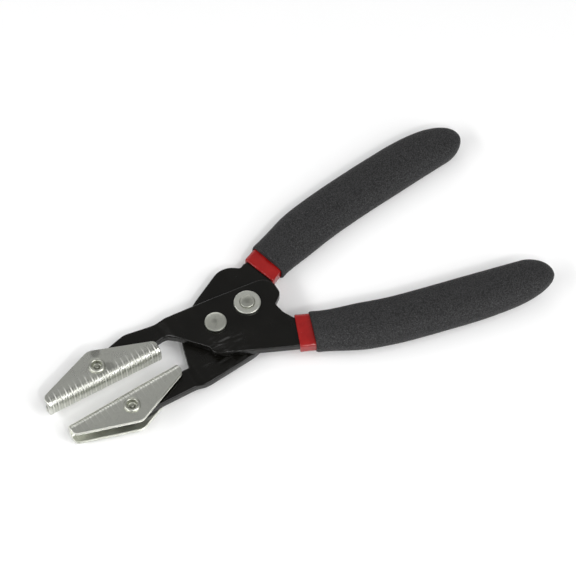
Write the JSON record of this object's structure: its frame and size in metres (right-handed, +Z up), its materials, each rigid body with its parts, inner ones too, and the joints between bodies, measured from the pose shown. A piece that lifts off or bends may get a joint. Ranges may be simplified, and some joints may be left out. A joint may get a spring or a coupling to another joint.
{
  "type": "swivel-jaw pliers",
  "caption": "Hand pliers with two stamped levers on a pivot rivet, a guide rivet in a hidden arc slot, ribbed U-channel swivel jaws and soft sleeved grips.",
  "frame": {"origin": "centre of the bounding box's bottom face: the underside of the back lever's grip, which the tool rests on", "axes": "+X from the jaw tips towards the handle ends, along the jaw line; +Y from the front lever's handle towards the back lever's handle; +Z up through the rivets, towards the front lever"},
  "size_m": [0.2282, 0.1024, 0.0158],
  "materials": {
    "black_paint": "glossy black enamel on stamped steel",
    "plated_jaw": "dull nickel-zinc plate on folded steel sheet",
    "rivet_steel": "plated steel rivet, slightly burnished",
    "washer_steel": "plated steel washer",
    "red_vinyl": "smooth red dipped vinyl",
    "black_foam": "matt black foamed vinyl with a fine pebbled skin"
  },
  "bodies": {
    "front": {"front_lever": "black_paint", "pivot_rivet": "rivet_steel", "pivot_washer_rear": "washer_steel", "guide_rivet": "rivet_steel", "guide_washer_front": "washer_steel", "guide_washer_rear": "washer_steel", "liner_front": "red_vinyl", "grip_front": "black_foam"},
    "back": {"back_lever": "black_paint", "liner_back": "red_vinyl", "grip_back": "black_foam"},
    "upper_jaw": {"jaw_upper": "plated_jaw", "jaw_rivet_upper": "rivet_steel", "spacer_top_upper": "washer_steel", "spacer_bottom_upper": "washer_steel"},
    "lower_jaw": {"jaw_lower": "plated_jaw", "jaw_rivet_lower": "rivet_steel", "spacer_top_lower": "washer_steel", "spacer_bottom_lower": "washer_steel"}
  },
  "joints": [
    {"name": "handle_hinge", "type": "hinge", "parent": "front", "child": "back", "pos_m": [-0.03309, 0.00734, 0.00788], "axis": [0, 0, 1], "range_deg": [-9.9, 0]},
    {"name": "upper_jaw_swivel", "type": "hinge", "parent": "front", "child": "upper_jaw", "pos_m": [-0.08739, 0.01424, 0.00788], "axis": [0, 0, 1], "range_deg": [0, 1.21]},
    {"name": "lower_jaw_swivel", "type": "hinge", "parent": "back", "child": "lower_jaw", "pos_m": [-0.08374, -0.01016, 0.00788], "axis": [0, 0, 1], "range_deg": [0, 7.91]}
  ],
  "couplings": [
    {"joint": "upper_jaw_swivel", "follows": "handle_hinge", "ratio": -0.1222},
    {"joint": "lower_jaw_swivel", "follows": "handle_hinge", "ratio": -0.799}
  ]
}
